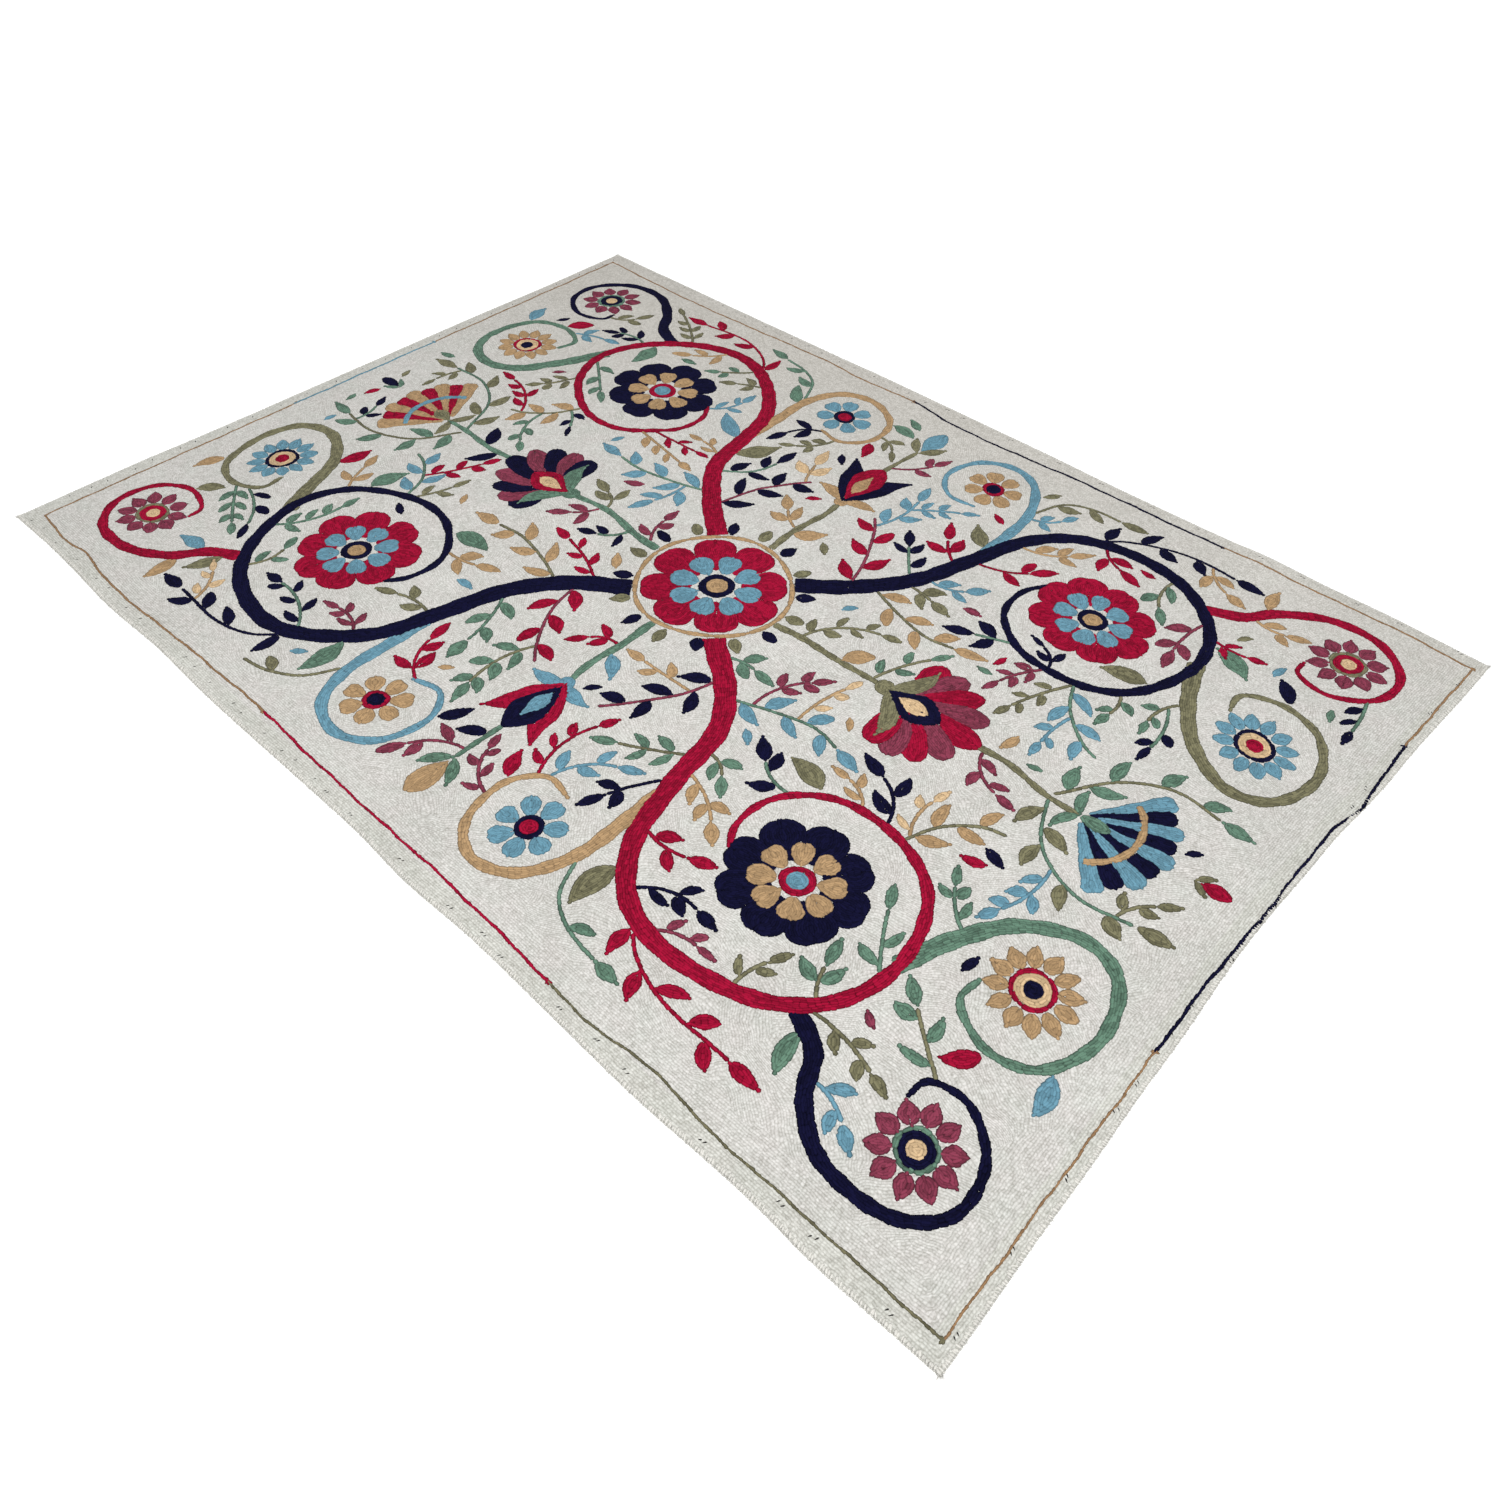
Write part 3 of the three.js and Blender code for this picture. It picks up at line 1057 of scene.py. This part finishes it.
def unitStitch():  # a low six-sided link with a slightly twisted ridge, all one unit
    bm = bmesh.new()
    turn = Matrix.Rotation(math.pi / 6, 4, "Z")
    bmesh.ops.create_circle(bm, cap_ends=True, segments=6, radius=0.5, matrix=turn)
    for v in bm.verts:
        v.co.x *= 1.155
        v.co.y *= 1.7 if abs(v.co.x) > 0.2 else 1.0
    raised = bmesh.ops.extrude_face_region(bm, geom=bm.faces[:])
    top = [v for v in raised["geom"] if isinstance(v, bmesh.types.BMVert)]
    back = [v for v in top if v.co.x < -0.1 or (abs(v.co.x) < 0.1 and v.co.y > 0)]
    front = [v for v in top if v not in back]
    bmesh.ops.pointmerge(bm, verts=back, merge_co=(-0.26, 0.06, 1.0))
    bmesh.ops.pointmerge(bm, verts=front, merge_co=(0.26, -0.06, 1.0))
    return readUnit(bm)


def unitFibre():  # a thin spike along +x, bent a little
    bm = bmesh.new()
    turn = Matrix.Rotation(math.pi / 2, 4, "Y")
    bmesh.ops.create_cone(bm, cap_ends=True, segments=3, radius1=0.5, radius2=0.0, depth=1.0, matrix=turn)
    bmesh.ops.translate(bm, vec=(0.5, 0.0, 0.0), verts=bm.verts)
    return readUnit(bm)


def readUnit(bm):
    bmesh.ops.triangulate(bm, faces=bm.faces[:])
    bmesh.ops.recalc_face_normals(bm, faces=bm.faces[:])
    bm.verts.index_update()
    points = np.array([v.co for v in bm.verts])
    faces = np.array(sorted([v.index for v in face.verts] for face in bm.faces))
    bm.free()
    return points, faces


def risesOf(points, along):  # the map's places on one stitch: along it, and from foot to ridge, which the yarn colour turns into painted shade at the foot and a painted highlight on the ridge
    return np.stack([along, np.where(points[:, 2] > 0.2, 0.96, 0.02 + 0.06 * (points[:, 1] + 0.5))], 1)


def joinedMesh(name, points, unitFaces, tones, rises):
    copies, size = points.shape[:2]
    faces = unitFaces[None] + size * np.arange(copies)[:, None, None]
    mesh = bpy.data.meshes.new(name)
    mesh.vertices.add(copies * size)
    mesh.vertices.foreach_set("co", points.ravel())
    mesh.loops.add(faces.size)
    mesh.loops.foreach_set("vertex_index", faces.ravel())
    mesh.polygons.add(faces.size // 3)
    mesh.polygons.foreach_set("loop_start", np.arange(0, faces.size, 3))
    mesh.update(calc_edges=True)
    mesh.shade_smooth()
    # The map lays each copy at its own tone, from its foot to its ridge, which sets its painted shade and
    # highlight
    place = np.stack([np.broadcast_to(tones[:, None], points.shape[:2]) + rises[None, :, 0],
                      np.broadcast_to(rises[None, :, 1], points.shape[:2])], 2)
    mesh.uv_layers.new(name="OFBake").data.foreach_set("uv", place.reshape(-1, 2)[faces.ravel()].ravel())
    mesh.validate()
    return mesh


def addPiece(name, mesh, material):
    piece = placed(name, mesh)
    mesh.materials.append(material)
    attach(piece, "root")
    return piece


def toneOf(stitches, rng):  # by row, by stitch and by place, from 0 dark to 1 light
    x, y = stitches[:, 0], stitches[:, 1]
    place = 0.07 * np.sin(x / 61.0 + 1.3 * np.sin(y / 83.0)) + 0.05 * np.sin(y / 47.0 + x / 190.0)
    return np.clip(0.5 + stitches[:, 4] + rng.normal(0.0, 0.25, len(x)) + place, 0.04, 0.94)


def stitchMesh(name, stitches, seed):
    points, faces = unitStitch()
    rng = np.random.default_rng(seed)
    start, end = stitches[:, :2], stitches[:, 2:4]
    start = start + rng.normal(0.0, stitchWork["slip"], start.shape)
    end = end + rng.normal(0.0, stitchWork["slip"], end.shape)
    length = np.maximum(lengths(end - start), 0.5)
    ahead = (end - start) / length[:, None]
    reach = points[None, :, 0] * (length + stitchWork["overlap"])[:, None]
    size = stitches[:, 5]
    wide = points[None, :, 1] * (size * stitchWork["swell"] * rng.uniform(0.92, 1.08, len(size)))[:, None]
    flat = 0.5 * (start + end)[:, None] + reach[..., None] * ahead[:, None]
    flat = flat + wide[..., None] * leftOf(ahead)[:, None]
    rise = points[None, :, 2] * (size * stitchWork["height"] * rng.uniform(0.85, 1.12, len(size)))[:, None]
    z = heightAt(flat) + rise + 0.35 * points[None, :, 0] - stitchWork["sink"]
    place = np.concatenate([flat + np.array(rug["middle"]), z[..., None]], 2) / 1000.0
    rises = risesOf(points, 0.025 * (points[:, 0] + 0.5))
    return joinedMesh(name, place, faces, toneOf(stitches, rng), rises)


yarnDepth = ((0.5, 0.6), (0.77, 0.92), (1.0, 1.36))  # where along its shades a yarn has which gain: besides the yarn's uneven tone, the low gains carry painted shade at each stitch's foot and the high ones a painted highlight on its ridge
paleDepth = ((0.5, 0.78), (0.77, 0.93), (1.0, 1.24))
woolDepth = ((0.35, 0.8), (0.65, 1.0), (0.95, 1.15))


def yarnMaterial(name, colour, sheen, stops):
    nodes = Nodes(name, 0.85, sheen)
    place = nodes.add("UVMap", uv_map="OFBake").outputs[0]
    along, footToRidge, _ = nodes.split(place)
    streaked = nodes.vectors("MULTIPLY", place, (95.0, 7.0, 1.0))
    streaks = nodes.add("TexNoise", {"Vector": streaked, "Scale": 1.0}, noise_dimensions="2D").outputs[0]
    slant = nodes.sums("MULTIPLY_ADD", along, 1500.0, nodes.times(footToRidge, 6.0))
    twist = nodes.sums("SINE", slant)
    # a stitch's foot is painted darker and its ridge lighter: painted shade between stitches and a painted
    # highlight on top
    tone = nodes.weighted((0.5, along), (0.5, footToRidge), (0.34, streaks), (0.035, twist))
    shades = nodes.ramp(tone, [(at, linear(colour, gain * studio["yarnGain"])) for at, gain in stops])
    relief = nodes.sums("MULTIPLY_ADD", twist, 0.5, streaks)
    return nodes.finished(shades, relief, 0.5, 0.0002)


# The turned edge: overcast stitches over the lip, and loose fibres that stand out from it

overcast = {
    "round": 8180.0,  # mm round the rug
    "every": 4.6,
    "reach": (5.0, 8.5),
    "lean": 0.35,
    "bend": 1.1,  # mm in from the lip, where a stitch turns down
    "past": (0.1, 0.7),  # and how far its lower end stands out
    "pitch": 3.4,
    "seed": 21,
}

edgeFuzz = {
    "count": 17000,
    "length": (2.5, 8.0),
    "thickness": (0.3, 0.55),
    "tuft": {"count": 45, "spread": 5.0, "stretch": 1.8},
    "seed": 5,
}


def alongRim(rim, places):  # points of the rim at these shares of its length, and the way out from each
    loop = np.vstack([rim, rim[:1]])
    laps = lapsOf(loop)
    laps /= laps[-1]
    ahead, behind = [pointsAt(loop[:, :2], laps, (places + step) % 1.0) for step in (0.002, -0.002)]
    run = ahead - behind
    return pointsAt(loop, laps, places), -leftOf(run / lengths(run)[:, None])


def laidAlong(points, start, end, size):  # copies of a unit, each from its start to its end
    ahead = end - start
    length = lengths(ahead)
    ahead = ahead / length[:, None]
    left = np.cross([0.0, 0.0, 1.0], ahead)
    left /= lengths(left)[:, None]
    up = np.cross(ahead, left)
    place = start[:, None] + (points[None, :, 0] * length[:, None])[..., None] * ahead[:, None]
    for way, axis in ((left, 1), (up, 2)):
        place = place + (points[None, :, axis] * size[:, None])[..., None] * way[:, None]
    place[..., 2] = np.maximum(place[..., 2], 0.00005)  # above the floor
    return place


def onSurface(flat, surface, above):  # points on the upper face, in metres
    return np.column_stack([flat, [above + topAt(surface, x, y, 0.002) for x, y in flat]])


def makeOvercast(rim, surface):  # each stitch lies on the hem and then turns down over the lip
    look = overcast
    rng = np.random.default_rng(look["seed"])
    count = int(look["round"] / look["every"])
    places = (np.arange(count) + rng.uniform(-0.3, 0.3, count)) / count
    edge, out = alongRim(rim, places % 1.0)
    slant = out + rng.normal(look["lean"], 0.15, count)[:, None] * leftOf(out)
    reach = 0.001 * rng.uniform(*look["reach"], count)[:, None]
    inner = onSurface(edge[:, :2] - reach * slant, surface, -0.0001)
    bend = onSurface(edge[:, :2] - 0.001 * look["bend"] * out, surface, 0.0002)
    past = 0.001 * rng.uniform(*look["past"], count)[:, None]
    low = np.column_stack([edge[:, :2] + past * out, 0.4 * edge[:, 2]])
    points, faces = unitStitch()
    points[:, 0] = 0.5 + 1.15 * points[:, 0]
    points[:, 2] = 0.36 * points[:, 2] - 0.05
    size = 0.001 * look["pitch"] * rng.uniform(0.8, 1.2, count)
    place = np.concatenate([laidAlong(points, inner, bend, size), laidAlong(points, bend, low, 0.9 * size)])
    tones = np.tile(rng.uniform(0.1, 0.9, count), 2)
    return joinedMesh("overcast", place, faces, tones, risesOf(points, 0.02 * points[:, 0]))


def makeEdgeFuzz(rim):
    look = edgeFuzz
    rng = np.random.default_rng(look["seed"])
    places = rng.uniform(0.0, 1.0, look["count"])
    length = rng.uniform(*look["length"], len(places)) * rng.uniform(0.4, 1.0, len(places))
    roots, out = alongRim(rim, places)
    roots[:, :2] -= 0.001 * rng.uniform(-0.6, 1.2, (len(places), 1)) * out
    roots[:, 2] += 0.001 * rng.uniform(-0.6, 0.9, len(places))
    tuft = look["tuft"]  # the four corners carry longer, looser ends
    for cornerX, cornerY in ((-1, -1), (1, -1), (1, 1), (-1, 1)):
        corner = rim[np.argmax(rim[:, 0] * cornerX * 0.71 + rim[:, 1] * cornerY)]
        away = 0.001 * rng.normal(0.0, 0.4 * tuft["spread"], (tuft["count"], 3)) * (1.0, 1.0, 0.15)
        roots = np.vstack([roots, corner - 0.002 * np.array([cornerX, cornerY, 0.0]) + away])
        out = np.vstack([out, np.tile([0.7 * cornerX, 0.7 * cornerY], (tuft["count"], 1))])
        length = np.concatenate([length, rng.uniform(*look["length"], tuft["count"]) * tuft["stretch"]])
    count = len(roots)
    yaw = np.arctan2(out[:, 1], out[:, 0]) + rng.normal(0.0, 0.75, count)
    pitch = rng.uniform(-0.2, 0.5, count)
    ahead = np.stack([np.cos(yaw) * np.cos(pitch), np.sin(yaw) * np.cos(pitch), np.sin(pitch)], 1)
    points, faces = unitFibre()
    thick = 0.001 * rng.uniform(*look["thickness"], count)
    place = laidAlong(points, roots, roots + 0.001 * length[:, None] * ahead, thick)
    # each fibre is painted darker at its root and lighter at its tip: the yarn's painted shade and highlight
    rises = np.stack([0.02 * points[:, 0], 0.4 + 0.5 * points[:, 0]], 1)
    return joinedMesh("edgeFuzz", place, faces, rng.uniform(0.1, 0.95, count), rises)


# Floor, light and camera

studio = {
    "albedo": 0.84,  # turns a colour seen on the rug into the wool's own under this light
    "yarnGain": 0.85,
    "floor": 14.0,  # metres
    "floorColour": (0.9, 0.9, 0.9, 1.0),
    "floorGlow": 0.5,  # a lit table: white to the edges of the picture
    "sky": 0.66,
    "side": {"place": (4.5, -4.2, 5.5), "size": 2.4, "watts": 290.0},
    "overhead": {"place": (0.5, -0.4, 2.6), "size": 1.6, "watts": 25.5},
    "lens": 28.92,
    "eye": (1.2979, -1.3283, 1.5275),
    "ahead": (-0.45572, 0.50568, -0.73254),
    "above": (-0.50836, 0.52769, 0.68052),
}


def makeFloor():
    bm = bmesh.new()
    bmesh.ops.create_grid(bm, x_segments=4, y_segments=4, size=0.5 * studio["floor"])
    mesh = bpy.data.meshes.new("floor")
    bm.to_mesh(mesh)
    bm.free()
    colour = studio["floorColour"]
    nodes = Nodes("paleFloor", 0.9, 0.0)
    nodes.feed(nodes.shader, {"Base Color": colour, "Emission Color": colour,
                              "Emission Strength": studio["floorGlow"]})
    mesh.materials.append(nodes.material)
    placed("floor", mesh)


def addLight(name, look):
    light = bpy.data.lights.new(name, "AREA")
    light.shape = "DISK"
    light.size = look["size"]
    light.energy = look["watts"]
    holder = placed(name, light)
    holder.visible_camera = False
    holder.location = look["place"]
    holder.rotation_euler = (-Vector(look["place"])).to_track_quat("-Z", "Y").to_euler()


def makeSky():
    world = bpy.data.worlds.new("softSky")
    world.use_nodes = True
    back = world.node_tree.nodes["Background"]
    back.inputs["Color"].default_value = (1.0, 1.0, 1.0, 1.0)
    back.inputs["Strength"].default_value = studio["sky"]
    bpy.context.scene.world = world


def makeCamera():
    camera = bpy.data.cameras.new("camera")
    camera.lens = studio["lens"]
    camera.sensor_width = 36.0
    holder = placed("camera", camera)
    back = -Vector(studio["ahead"]).normalized()
    right = Vector(studio["above"]).cross(back).normalized()
    above = back.cross(right)
    turn = Matrix((right, above, back)).transposed().to_4x4()
    holder.matrix_world = Matrix.Translation(studio["eye"]) @ turn
    bpy.context.scene.camera = holder


makeCamera()
makeSky()
addLight("sideLight", studio["side"])
addLight("overheadLight", studio["overhead"])
makeFloor()
bpy.context.scene.view_settings.view_transform = "Standard"
print("studio ready")

cloth, rim = makeGroundCloth()
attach(cloth, "root")
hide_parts("rug_cloth")
clothShape = bmesh.new()
clothShape.from_mesh(cloth.data)
surface = BVHTree.FromBMesh(clothShape)
heights = readHeights(surface)
print("ground cloth made, faces", len(cloth.data.polygons))

work = embroider()
for yarn, parts in borderStitches().items():
    work.setdefault(yarn, []).extend(parts)
work["charcoal"] = [hemTieStitches()]

sheens = {"navy": 0.0, "charcoal": 0.0, "crimson": 0.0, "plum": 0.02}
paleYarns = ("tan", "sand", "sky", "umber")
for i, (yarn, parts) in enumerate(sorted(work.items())):
    stitches = np.concatenate(parts)
    name = "hemTies" if yarn == "charcoal" else "yarn" + yarn.capitalize()
    mesh = stitchMesh(name, stitches, stitchWork["meshSeed"] + i)
    depth = paleDepth if yarn in paleYarns else yarnDepth
    material = yarnMaterial(name, palette[yarn], sheens.get(yarn, 0.05), depth)
    addPiece(name, mesh, material)
    print(name, "stitches", len(stitches), "faces", len(mesh.polygons))

looseWool = yarnMaterial("looseWool", palette["wool"], 0.1, woolDepth)
for mesh in (makeOvercast(rim, surface), makeEdgeFuzz(rim)):
    addPiece(mesh.name, mesh, looseWool)
    print(mesh.name, "faces", len(mesh.polygons))
clothShape.free()
